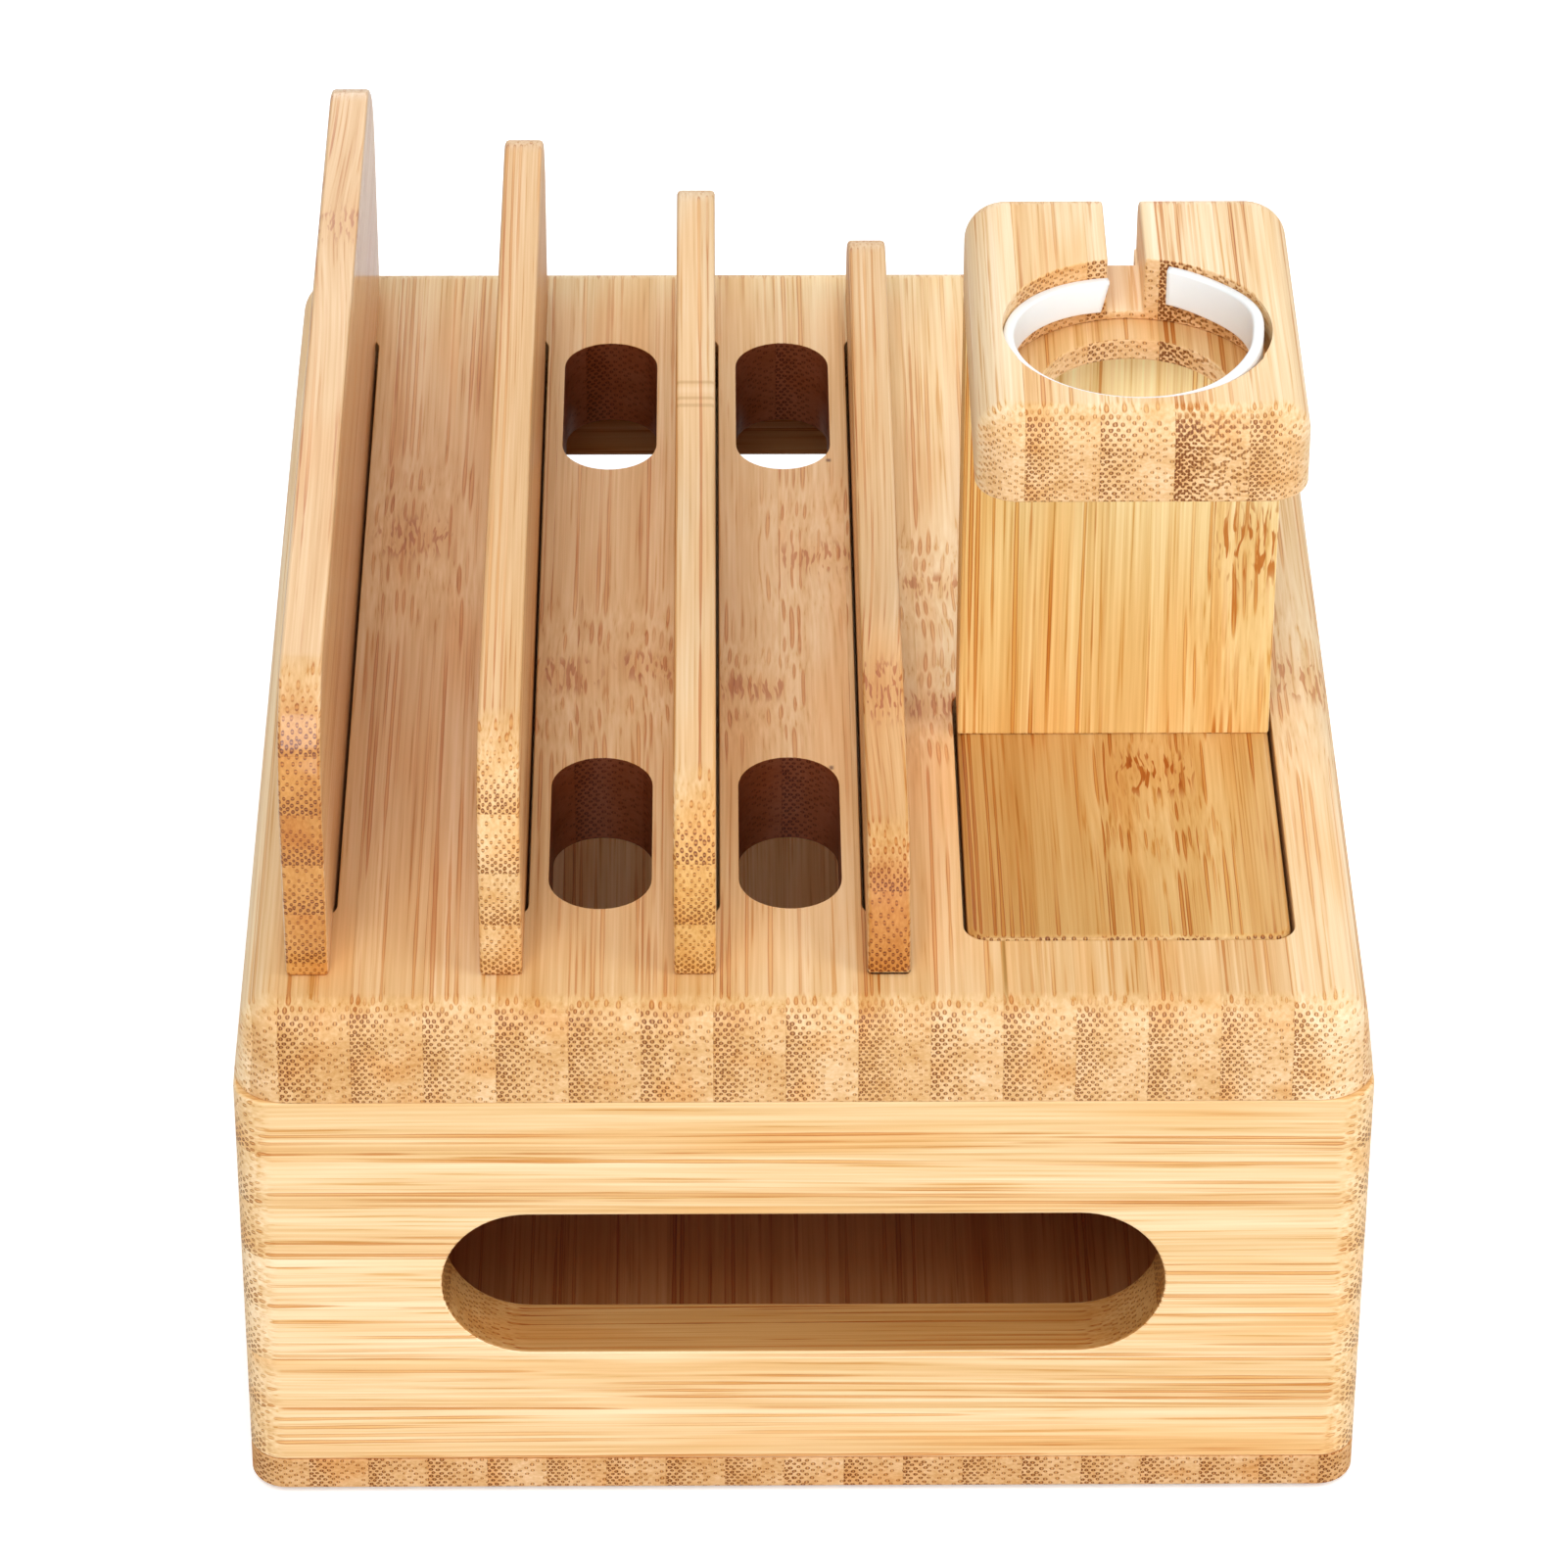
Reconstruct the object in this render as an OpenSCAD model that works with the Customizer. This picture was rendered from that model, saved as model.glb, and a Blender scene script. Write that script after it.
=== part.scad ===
// Bamboo charging station: an open-fronted box for a multi-port charger, a lift-off lid,
// four device dividers that stand in grooves, and a watch stand that drops into a pocket.
// Millimetres, +Z up, +Y to the back. The origin is under the middle of the box, on the table.

/* [Box] */
// Width of the box and of its lid, left to right
body_w = 134; // [120:1:180]
// Depth of the box and of its lid, front to back
body_d = 175; // [165:1:220]
// Thickness of the bottom board
bottom_t = 4.5; // [3:0.5:8]
// Height of the four walls, between the bottom board and the lid
wall_h = 53.9; // [45:0.1:80]
// Thickness of the wall boards
wall_t = 9.3; // [8:0.1:12]
// Radius of the box's upright corners
box_corner_r = 4.5; // [2:0.5:8]
// Length of the round-ended cable opening in the front wall and in the back wall
opening_w = 86; // [50:1:96]
// Height of the cable openings
opening_h = 20.6; // [10:0.1:24]
// Height of the back wall's opening above the front wall's
back_opening_lift = 3; // [0:0.1:4]

/* [Lid] */
// Thickness of the lid board
lid_t = 12; // [10:0.5:18]
// Radius of the lid's upright corners, larger than the box's own
lid_corner_r = 6.7; // [6.5:0.1:12]
// Radius of the roundover along the lid's top edge
lid_round_r = 4.5; // [2:0.1:4.8]
// Angle that the lid's edge leans in below its roundover
lid_edge_lean = 7; // [0:0.5:10]
// Width of the four cable holes in the lid
lid_hole_w = 12.2; // [6:0.1:14]
// Length of the cable holes
lid_hole_l = 31.8; // [20:0.1:45]
// Distance from the middle of the lid to the middle of a cable hole, front or back
lid_hole_y = 49.3; // [35:0.1:52]

/* [Dividers] */
// Thickness of a divider
divider_t = 5; // [4:0.1:7]
// Length of a divider, front to back
divider_l = 157.6; // [148:0.2:158]
// Height of the tallest divider above the lid
divider_tall = 36.7; // [32:0.1:60]
// Drop in height from each divider to the next
divider_drop = 7.7; // [4:0.05:9]
// Radius of a divider's two top corners
divider_corner_r = 13.4; // [4:0.1:30]
// Middle of the left divider, from the left side of the lid
divider_inset = 8.9; // [8:0.1:11]
// Gap between the right divider and the watch stand; the four dividers are spaced evenly
divider_stand_gap = 7; // [4:0.1:10]
// Length of the groove that holds a divider, over its round ends
groove_l = 134; // [110:1:140]
// Depth of the groove
groove_depth = 7; // [5:0.5:8]
// Play of a divider across its groove
groove_play = 0.5; // [0.3:0.05:1]
// Part of that play on the side that the divider stands against
groove_near_gap = 0.1; // [0.05:0.05:0.15]
// Play under a divider's tongue, and at each end of it
tongue_gap = 0.3; // [0.2:0.1:1]

/* [Watch stand] */
// Width of the stand's four boards
stand_w = 38.2; // [36:0.1:42]
// Middle of the stand, from the right side of the lid
stand_inset = 28.5; // [26:0.1:31]
// Setback of the foot board from the front edge of the lid
foot_setback = 16.1; // [12:0.1:20]
// Thickness of the foot board, which is also the depth of its pocket
foot_t = 6; // [5:0.5:8]
// Radius of the foot board's upright corners
foot_corner_r = 2.6; // [1.5:0.1:5]
// Radius of the eased top edge of the foot board
foot_ease_r = 0.9; // [0.4:0.1:1.4]
// Gap round the foot board in its pocket
foot_gap = 0.5; // [0.3:0.1:1.2]
// Length of the foot board in front of the post
foot_reach = 42.8; // [36:0.1:50]
// Thickness of the post
post_t = 9.3; // [8.5:0.1:12]
// Height of the post above the foot board
post_h = 57.3; // [40:0.1:90]
// Reach of the head in front of the post
head_reach = 37.8; // [36.5:0.1:42]
// Overhang of the head behind the post
head_overhang = 5.6; // [3:0.1:10]
// Thickness of the head's upper block
block_t = 8.3; // [7.6:0.1:14]
// Thickness of the plate glued under the block
plate_t = 2.8; // [2:0.1:6]
// Radius of the head's upright corners
head_corner_r = 5; // [4.6:0.1:8]
// Radius of the roundover along the head's top edge
head_round_r = 4.2; // [1:0.1:4.5]

/* [Watch charger seat] */
// Radius of the bore that takes the watch charger
bore_r = 15.6; // [14:0.1:16.5]
// Middle of the bore, from the front face of the head
bore_setback = 20.5; // [19.5:0.1:21]
// Radius of the hole in the plate, under the charger
push_hole_r = 11.1; // [6:0.1:13]
// Width of the cable slot that leads back from the bore
slot_w = 4.4; // [3.5:0.1:8]
// Middle of the cable slot, from the middle of the stand
slot_offset = -0.5; // [-2:0.1:2]
// Depth of the cable slot below the top of the head, where it crosses the post
slot_depth = 7.2; // [4:0.1:7.5]
// Step between the block's notch and the narrower notch in the plate
notch_step = 0.25; // [0:0.05:0.6]
// Thickness of the white grip ring
ring_t = 1.3; // [0.8:0.1:2.5]
// Height of the grip ring
ring_h = 4.5; // [2:0.1:5]
// Distance from the top of the head down to the ring
ring_drop = 1.3; // [0.5:0.1:2.5]
// Left edge of the ring's gap at the ring's mid height, from the middle of the bore
ring_gap_left = -2.6; // [-5:0.1:-2.2]
// Right edge of the ring's gap, from the middle of the bore
ring_gap_right = 4; // [2:0.1:6]
// Angle at which the ring's left end is cut
ring_cut_angle = 14; // [0:1:25]

/* [Glued joints] */
// Diameter of the wall dowels
wall_dowel_d = 6; // [4:0.5:6]
// Length of the wall dowels
wall_dowel_l = 22; // [16:1:30]
// Depth to which the wall dowels enter the front and the back wall
wall_dowel_bite = 6; // [4:0.5:7]
// Distance of the wall dowels from the top and the bottom of the walls
wall_dowel_inset = 12; // [8:0.5:16]
// Diameter of the pegs that keep the lid in place
peg_d = 5; // [3:0.5:6]
// Depth of the pegs in the walls
peg_bite = 12; // [8:0.5:14]
// Height of the pegs above the walls
peg_rise = 5; // [3:0.5:6]
// Distance of the pegs from the ends of the wall
peg_inset = 15; // [13:0.5:17]
// Play round a peg in the lid, and over its top
peg_gap = 0.3; // [0.2:0.1:0.6]
// Diameter of the stand's dowels
stand_dowel_d = 5; // [3:0.5:6]
// Spacing of the two dowels in each of the stand's joints
stand_dowel_spacing = 20; // [14:0.5:24]
// Depth of the stand's dowels in the foot board, and in the head's block
stand_dowel_bite = 4; // [3:0.5:5]
// Depth of the stand's dowels in the post
stand_dowel_depth = 14; // [8:1:18]
// Chamfer on the ends of every dowel and peg
dowel_chamfer = 0.6; // [0.2:0.1:1]

/* [Rubber pads] */
// Diameter of the pads under the bottom board
pad_d = 12; // [8:1:16]
// Thickness of the pads
pad_t = 1; // [0.8:0.1:3]
// Distance of a pad's middle from the box's sides
pad_inset = 14; // [10:1:24]

/* [Hidden] */
$fn = 96;
// Amount by which a cut runs past the face that it opens
past = 1;
// Amount by which a roundover's arc stands proud of the leaning edge below it
arc_proud = 0.005;
// Side of its groove that each divider stands against, -1 for the left
standing_side = [-1, -1, -1, 1];

// Levels, from the table up
bottom_z = pad_t;
wall_z = bottom_z + bottom_t;
lid_z = wall_z + wall_h;
lid_top_z = lid_z + lid_t;
foot_z = lid_top_z - foot_t;
plate_z = lid_top_z + post_h;
block_z = plate_z + plate_t;
head_top_z = block_z + block_t;

// Box
opening_z = wall_z + wall_h / 2;
wall_mid_x = body_w / 2 - wall_t / 2;
wall_mid_y = body_d / 2 - wall_t / 2;
peg_x = body_w / 2 - peg_inset;
side_wall_l = body_d - 2 * wall_t;
wall_dowel_levels = [wall_z + wall_dowel_inset, lid_z - wall_dowel_inset];

// Middle of the watch stand, and the spacing of the dividers from the left one up to it
stand_x = body_w / 2 - stand_inset;
first_divider_x = divider_inset - body_w / 2;
last_divider_x = stand_x - stand_w / 2 - divider_stand_gap - divider_t / 2;
divider_pitch = (last_divider_x - first_divider_x) / 3;

// Grooves and dividers
groove_w = divider_t + groove_play;
groove_z = lid_top_z - groove_depth;
standing_shift = groove_play / 2 - groove_near_gap;
tongue_l = groove_l - groove_w - 2 * tongue_gap;
tongue_h = groove_depth - tongue_gap;
lid_hole_xs = [(divider_x(1) + divider_x(2)) / 2, (divider_x(2) + divider_x(3)) / 2];

// Watch stand
foot_front_y = foot_setback - body_d / 2;
post_front_y = foot_front_y + foot_reach;
head_front_y = post_front_y - head_reach;
bore_y = head_front_y + bore_setback;
post_back_y = post_front_y + post_t;
post_mid_y = post_front_y + post_t / 2;
foot_l = post_back_y - foot_front_y;
foot_mid_y = (post_back_y + foot_front_y) / 2;
head_back_y = post_back_y + head_overhang;
head_l = head_back_y - head_front_y;
head_mid_y = (head_back_y + head_front_y) / 2;
slot_x = stand_x + slot_offset;
slot_left_x = slot_x - slot_w / 2;
ring_z = head_top_z - ring_drop - ring_h;
ring_cut_reach = tan(ring_cut_angle) * (ring_h / 2 + past);

// Middle of a divider, counted from 0 at the left
function divider_x(i) = first_divider_x + i * divider_pitch;
// Height of a divider above the lid
function divider_h(i) = divider_tall - i * divider_drop;
// Middle of the groove that a divider stands in
function groove_x(i) = divider_x(i) - standing_side[i] * standing_shift;

// Rectangle with round corners, its middle on the origin
module round_rect(width, length, radius) {
    square([width - 2 * radius, length], center = true);
    square([width, length - 2 * radius], center = true);
    for (x = [-1, 1], y = [-1, 1])
        translate([x * (width / 2 - radius), y * (length / 2 - radius)])
            circle(r = radius);
}

// Slot outline with half-round ends, long along X
module stadium(length, height) {
    square([length - height, height], center = true);
    for (side = [-1, 1])
        translate([side * (length - height) / 2, 0])
            circle(d = height);
}

// Cross-section of a board's edge, from its inner side out to reach at the bottom. The edge
// leans in, and an arc rounds it over. The arc stands a hair proud of a leaning edge, so that
// the two cross at a clean line.
module edge_section(reach, thick, radius, lean) {
    proud = lean > 0 ? arc_proud : 0;
    arc_x = reach - (radius + (thick - radius) * sin(lean)) / cos(lean) + proud;
    arc_z = thick - radius;
    polygon([
        [0, 0],
        [reach, 0],
        [arc_x - proud + radius * cos(lean), arc_z + radius * sin(lean)],
        [arc_x, arc_z],
        [arc_x, thick],
        [0, thick]
    ]);
    translate([arc_x, arc_z])
        intersection() {
            circle(r = radius);
            square(radius + past);
        }
}

// Board with round corners and a rounded-over top edge: the edge section is revolved at the
// four corners and run along the four sides
module rounded_board(width, length, thick, corner, radius, lean) {
    flat_w = width - 2 * corner;
    flat_l = length - 2 * corner;
    translate([-flat_w / 2, -flat_l / 2, 0])
        cube([flat_w, flat_l, thick]);
    for (x = [-1, 1], y = [-1, 1])
        translate([x * flat_w / 2, y * flat_l / 2, 0])
            rotate_extrude()
                edge_section(corner, thick, radius, lean);
    for (side = [0, 180])
        rotate([0, 0, side]) {
            translate([flat_w / 2, flat_l / 2, 0])
                rotate([90, 0, 0])
                    linear_extrude(flat_l)
                        edge_section(corner, thick, radius, lean);
            translate([-flat_w / 2, flat_l / 2, 0])
                rotate([90, 0, 90])
                    linear_extrude(flat_w)
                        edge_section(corner, thick, radius, lean);
        }
}

// Wooden dowel that stands on the origin, with both ends chamfered
module dowel(diameter, length) {
    translate([0, 0, dowel_chamfer])
        cylinder(d = diameter, h = length - 2 * dowel_chamfer);
    for (end = [0, 1])
        translate([0, 0, end * length])
            mirror([0, 0, end])
                cylinder(d1 = diameter - 2 * dowel_chamfer, d2 = diameter, h = dowel_chamfer);
}

// Places its children at the four wall corners, two heights each, pointing into a side wall
module at_wall_dowels() {
    for (x = [-1, 1], y = [-1, 1], z = wall_dowel_levels)
        translate([x * wall_mid_x, y * (body_d / 2 - wall_t + wall_dowel_bite), z])
            rotate([y * 90, 0, 0])
                children();
}

// Places its children on the four peg centres, at the foot of the pegs
module at_pegs() {
    for (x = [-1, 1], y = [-1, 1])
        translate([x * peg_x, y * wall_mid_y, lid_z - peg_bite])
            children();
}

// Places its children on the two dowel centres of a joint of the stand
module at_stand_dowels(level) {
    for (side = [-1, 1])
        translate([stand_x + side * stand_dowel_spacing / 2, post_mid_y, level])
            children();
}

module foot_pads() {
    color([0.16, 0.16, 0.16])
        for (x = [-1, 1], y = [-1, 1])
            translate([x * (body_w / 2 - pad_inset), y * (body_d / 2 - pad_inset), 0])
                cylinder(d = pad_d, h = pad_t);
}

module bottom_plate() {
    color([0.80, 0.60, 0.36])
        translate([0, 0, bottom_z])
            linear_extrude(bottom_t)
                round_rect(body_w, body_d, box_corner_r);
}

// Front or back wall: it takes the box's full width and its two round corners
module end_wall(side, opening_lift) {
    color([0.93, 0.78, 0.52])
        difference() {
            translate([0, 0, wall_z])
                linear_extrude(wall_h)
                    intersection() {
                        round_rect(body_w, body_d, box_corner_r);
                        translate([0, side * wall_mid_y])
                            square([body_w, wall_t], center = true);
                    }
            translate([0, side * wall_mid_y, opening_z + opening_lift])
                rotate([90, 0, 0])
                    linear_extrude(wall_t + 2 * past, center = true)
                        stadium(opening_w, opening_h);
            at_wall_dowels()
                cylinder(d = wall_dowel_d, h = wall_dowel_l);
            at_pegs()
                cylinder(d = peg_d, h = peg_bite + past);
        }
}

// Left or right wall: it stands between the front and the back wall
module side_wall(side) {
    color([0.90, 0.74, 0.48])
        difference() {
            translate([side * wall_mid_x - wall_t / 2, -side_wall_l / 2, wall_z])
                cube([wall_t, side_wall_l, wall_h]);
            at_wall_dowels()
                cylinder(d = wall_dowel_d, h = wall_dowel_l);
        }
}

module front_wall() { end_wall(-1, 0); }

module back_wall() { end_wall(1, back_opening_lift); }

module left_wall() { side_wall(-1); }

module right_wall() { side_wall(1); }

module wall_dowels() {
    color([0.86, 0.72, 0.50])
        at_wall_dowels()
            dowel(wall_dowel_d, wall_dowel_l);
}

module lid_pegs() {
    color([0.86, 0.72, 0.50])
        at_pegs()
            dowel(peg_d, peg_bite + peg_rise);
}

module lid() {
    color([0.87, 0.69, 0.44])
        difference() {
            translate([0, 0, lid_z])
                rounded_board(body_w, body_d, lid_t, lid_corner_r, lid_round_r, lid_edge_lean);
            for (x = lid_hole_xs, y = [-lid_hole_y, lid_hole_y])
                translate([x, y, lid_z - past])
                    rotate([0, 0, 90])
                        linear_extrude(lid_t + 2 * past)
                            stadium(lid_hole_l, lid_hole_w);
            for (i = [0:3])
                translate([groove_x(i), 0, groove_z])
                    rotate([0, 0, 90])
                        linear_extrude(groove_depth + past)
                            stadium(groove_l, groove_w);
            translate([stand_x, foot_mid_y, foot_z])
                linear_extrude(foot_t + past)
                    round_rect(
                        stand_w + 2 * foot_gap,
                        foot_l + 2 * foot_gap,
                        foot_corner_r + foot_gap
                    );
            at_pegs()
                cylinder(d = peg_d + 2 * peg_gap, h = peg_bite + peg_rise + peg_gap);
        }
}

// Divider: its shoulders rest on the lid past the groove's ends, its tongue fills the groove
module divider(i) {
    height = divider_h(i);
    corner = min(divider_corner_r, height);
    color([0.84, 0.66, 0.42])
        translate([divider_x(i) - divider_t / 2, 0, lid_top_z])
            rotate([90, 0, 90])
                linear_extrude(divider_t) {
                    translate([-divider_l / 2, 0])
                        square([divider_l, height - corner]);
                    translate([-divider_l / 2 + corner, 0])
                        square([divider_l - 2 * corner, height]);
                    for (end = [-1, 1])
                        translate([end * (divider_l / 2 - corner), height - corner])
                            intersection() {
                                circle(r = corner);
                                translate([-corner, 0])
                                    square([2 * corner, corner]);
                            }
                    translate([-tongue_l / 2, -tongue_h])
                        square([tongue_l, tongue_h]);
                }
}

module divider_1() { divider(0); }

module divider_2() { divider(1); }

module divider_3() { divider(2); }

module divider_4() { divider(3); }

module stand_foot() {
    color([0.85, 0.66, 0.40])
        difference() {
            translate([stand_x, foot_mid_y, foot_z])
                rounded_board(stand_w, foot_l, foot_t, foot_corner_r, foot_ease_r, 0);
            at_stand_dowels(lid_top_z - stand_dowel_bite)
                cylinder(d = stand_dowel_d, h = stand_dowel_bite + past);
        }
}

module foot_dowels() {
    color([0.86, 0.72, 0.50])
        at_stand_dowels(lid_top_z - stand_dowel_bite)
            dowel(stand_dowel_d, stand_dowel_bite + stand_dowel_depth);
}

module stand_post() {
    color([0.90, 0.71, 0.42])
        difference() {
            translate([stand_x - stand_w / 2, post_front_y, lid_top_z])
                cube([stand_w, post_t, post_h]);
            at_stand_dowels(lid_top_z - past)
                cylinder(d = stand_dowel_d, h = stand_dowel_depth + past);
            at_stand_dowels(plate_z - stand_dowel_depth)
                cylinder(d = stand_dowel_d, h = stand_dowel_depth + past);
        }
}

module head_dowels() {
    color([0.86, 0.72, 0.50])
        at_stand_dowels(plate_z - stand_dowel_depth)
            dowel(stand_dowel_d, stand_dowel_depth + plate_t + stand_dowel_bite);
}

// Plate under the block: its smaller hole leaves a ledge that the charger sits on
module head_plate() {
    color([0.84, 0.64, 0.38])
        difference() {
            translate([stand_x, head_mid_y, plate_z])
                linear_extrude(plate_t)
                    round_rect(stand_w, head_l, head_corner_r);
            translate([stand_x, bore_y, plate_z - past])
                cylinder(r = push_hole_r, h = plate_t + 2 * past);
            translate([slot_left_x, post_back_y, plate_z - past])
                cube([slot_w - notch_step, head_overhang + past, plate_t + 2 * past]);
            at_stand_dowels(plate_z - past)
                cylinder(d = stand_dowel_d, h = plate_t + 2 * past);
        }
}

// Block: the bore goes right through it, the cable slot stays clear of the post below, and
// behind the post the slot becomes a notch
module head_block() {
    color([0.94, 0.79, 0.54])
        difference() {
            translate([stand_x, head_mid_y, block_z])
                rounded_board(stand_w, head_l, block_t, head_corner_r, head_round_r, 0);
            translate([stand_x, bore_y, block_z - past])
                cylinder(r = bore_r, h = block_t + 2 * past);
            translate([slot_left_x, bore_y, head_top_z - slot_depth])
                cube([slot_w, head_back_y - bore_y + past, slot_depth + past]);
            translate([slot_left_x, post_back_y, block_z - past])
                cube([slot_w, head_overhang + past, block_t + 2 * past]);
            at_stand_dowels(block_z - past)
                cylinder(d = stand_dowel_d, h = stand_dowel_bite + past);
        }
}

// Silicone strip bent round the wall of the bore; its ends leave a gap at the cable slot
module grip_ring() {
    color([0.96, 0.96, 0.95])
        translate([stand_x, bore_y, ring_z])
            difference() {
                cylinder(r = bore_r, h = ring_h);
                translate([0, 0, -past])
                    cylinder(r = bore_r - ring_t, h = ring_h + 2 * past);
                translate([0, bore_r + past, 0])
                    rotate([90, 0, 0])
                        linear_extrude(bore_r)
                            polygon([
                                [ring_gap_left - ring_cut_reach, -past],
                                [ring_gap_right, -past],
                                [ring_gap_right, ring_h + past],
                                [ring_gap_left + ring_cut_reach, ring_h + past]
                            ]);
            }
}

foot_pads();
bottom_plate();
front_wall();
back_wall();
left_wall();
right_wall();
wall_dowels();
lid_pegs();
lid();
divider_1();
divider_2();
divider_3();
divider_4();
stand_foot();
foot_dowels();
stand_post();
head_dowels();
head_plate();
head_block();
grip_ring();
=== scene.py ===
import math

import bpy
from mathutils import Matrix, Vector


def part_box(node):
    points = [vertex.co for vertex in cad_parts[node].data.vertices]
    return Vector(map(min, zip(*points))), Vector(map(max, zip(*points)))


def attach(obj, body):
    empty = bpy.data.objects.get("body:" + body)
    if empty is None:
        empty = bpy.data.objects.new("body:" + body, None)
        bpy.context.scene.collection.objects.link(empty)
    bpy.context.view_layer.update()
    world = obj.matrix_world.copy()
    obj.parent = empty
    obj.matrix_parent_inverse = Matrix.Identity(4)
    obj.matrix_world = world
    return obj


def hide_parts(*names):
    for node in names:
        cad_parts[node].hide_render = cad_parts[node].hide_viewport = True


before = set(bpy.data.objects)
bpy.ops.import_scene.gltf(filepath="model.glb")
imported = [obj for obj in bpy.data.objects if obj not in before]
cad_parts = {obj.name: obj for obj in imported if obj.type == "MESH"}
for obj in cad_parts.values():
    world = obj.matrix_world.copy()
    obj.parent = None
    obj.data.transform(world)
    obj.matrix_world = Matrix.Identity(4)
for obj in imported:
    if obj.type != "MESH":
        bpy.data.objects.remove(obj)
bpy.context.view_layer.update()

# Camera
# It stands in front of the station and a little to the left of its middle, and looks down at
# the lid. The lens is long, so the box's sides converge only slightly.
photo_width = 1601
focal_length_px = 7206.6
sensor_mm = 36
camera_place = Vector((-0.009861, -0.747063, 0.556018))
look_down = 0.600294
look_right = 0.011089
camera_roll = -0.003530

ahead = Vector((
    math.sin(look_right) * math.cos(look_down),
    math.cos(look_right) * math.cos(look_down),
    -math.sin(look_down),
))
level_right = Vector((math.cos(look_right), -math.sin(look_right), 0))
image_down = ahead.cross(level_right)
right = math.cos(camera_roll) * level_right + math.sin(camera_roll) * image_down
down = math.cos(camera_roll) * image_down - math.sin(camera_roll) * level_right

camera = bpy.data.objects.new("camera", bpy.data.cameras.new("camera"))
camera.data.sensor_width = sensor_mm
camera.data.lens = focal_length_px * sensor_mm / photo_width
camera.data.clip_start = 0.01
camera.data.clip_end = 20
camera.matrix_world = Matrix.Translation(camera_place) @ Matrix(
    (right, -down, -ahead)
).transposed().to_4x4()
bpy.context.scene.collection.objects.link(camera)
bpy.context.scene.camera = camera

# Floor and light
# A plain white table, a broad soft lamp over the front, weaker ones low in front, on the
# right and behind, and an even white surround that fills the shadows and shows in the lacquer.
bpy.context.scene.view_settings.view_transform = "Standard"
surround_at_horizon = 0.27
surround_overhead = 0.60

surround = bpy.data.worlds.new("white surround")
bpy.context.scene.world = surround
surround.use_nodes = True
nodes, links = surround.node_tree.nodes, surround.node_tree.links
rays = nodes.new("ShaderNodeLightPath")
seen_directly = nodes.new("ShaderNodeMath")
seen_directly.operation = "MAXIMUM"
links.new(rays.outputs["Is Camera Ray"], seen_directly.inputs[0])
links.new(rays.outputs["Is Transmission Ray"], seen_directly.inputs[1])
seen_or_mirrored = nodes.new("ShaderNodeMath")
seen_or_mirrored.operation = "MAXIMUM"
links.new(seen_directly.outputs[0], seen_or_mirrored.inputs[0])
links.new(rays.outputs["Is Glossy Ray"], seen_or_mirrored.inputs[1])
direction = nodes.new("ShaderNodeTexCoord")
height = nodes.new("ShaderNodeSeparateXYZ")
links.new(direction.outputs["Generated"], height.inputs[0])
overhead = nodes.new("ShaderNodeMapRange")
overhead.inputs["To Min"].default_value = surround_at_horizon
overhead.inputs["To Max"].default_value = surround_overhead
links.new(height.outputs["Z"], overhead.inputs["Value"])
strength = nodes.new("ShaderNodeMapRange")
strength.inputs["To Max"].default_value = 1
links.new(seen_or_mirrored.outputs[0], strength.inputs["Value"])
links.new(overhead.outputs[0], strength.inputs["To Min"])
links.new(strength.outputs[0], nodes["Background"].inputs["Strength"])
nodes["Background"].inputs["Color"].default_value = (1, 1, 1, 1)


def softbox(name, place, aim, size, watts):
    lamp = bpy.data.lights.new(name, "AREA")
    lamp.shape = "DISK"
    lamp.size = size
    lamp.energy = watts
    holder = bpy.data.objects.new(name, lamp)
    holder.location = place
    holder.rotation_euler = (Vector(aim) - Vector(place)).to_track_quat("-Z", "Y").to_euler()
    bpy.context.scene.collection.objects.link(holder)


softbox("key softbox", (-0.2, -1.0, 1.2), (0, 0, 0.05), 0.9, 11.3)
softbox("front softbox", (0.2, -1.6, 0.5), (0, 0, 0.05), 0.7, 4.2)
softbox("right softbox", (1.0, -0.5, 0.8), (0, 0, 0.06), 0.8, 5.2)
softbox("rear softbox", (0.1, 1.4, 0.7), (0, 0, 0.06), 1.2, 4.2)

floor_mesh = bpy.data.meshes.new("table")
reach = 3
floor_mesh.from_pydata(
    [(-reach, -reach, 0), (reach, -reach, 0), (reach, reach, 0), (-reach, reach, 0)],
    [],
    [(0, 1, 2, 3)],
)
table = bpy.data.objects.new("table", floor_mesh)
bpy.context.scene.collection.objects.link(table)
table_white = bpy.data.materials.new("white table")
table_white.use_nodes = True
nodes, links = table_white.node_tree.nodes, table_white.node_tree.links
nodes["Principled BSDF"].inputs["Roughness"].default_value = 0.9
nodes["Principled BSDF"].inputs["Specular IOR Level"].default_value = 0
rays = nodes.new("ShaderNodeLightPath")
table_colour = nodes.new("ShaderNodeMix")
table_colour.data_type = "RGBA"
table_colour.inputs["A"].default_value = (0.8, 0.8, 0.8, 1)
table_colour.inputs["B"].default_value = (1, 1, 1, 1)
links.new(rays.outputs["Is Camera Ray"], table_colour.inputs["Factor"])
links.new(table_colour.outputs["Result"], nodes["Principled BSDF"].inputs["Base Color"])
nodes["Principled BSDF"].inputs["Emission Color"].default_value = (1, 1, 1, 1)
glow = nodes.new("ShaderNodeMath")
glow.operation = "MULTIPLY"
glow.inputs[1].default_value = 0.35
links.new(rays.outputs["Is Camera Ray"], glow.inputs[0])
links.new(glow.outputs[0], nodes["Principled BSDF"].inputs["Emission Strength"])
floor_mesh.materials.append(table_white)

# Bottom board
# A thin board of laminated bamboo that closes the box from below, glued under the walls. Its
# strips run front to back, so its front edge shows their end grain.


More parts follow.
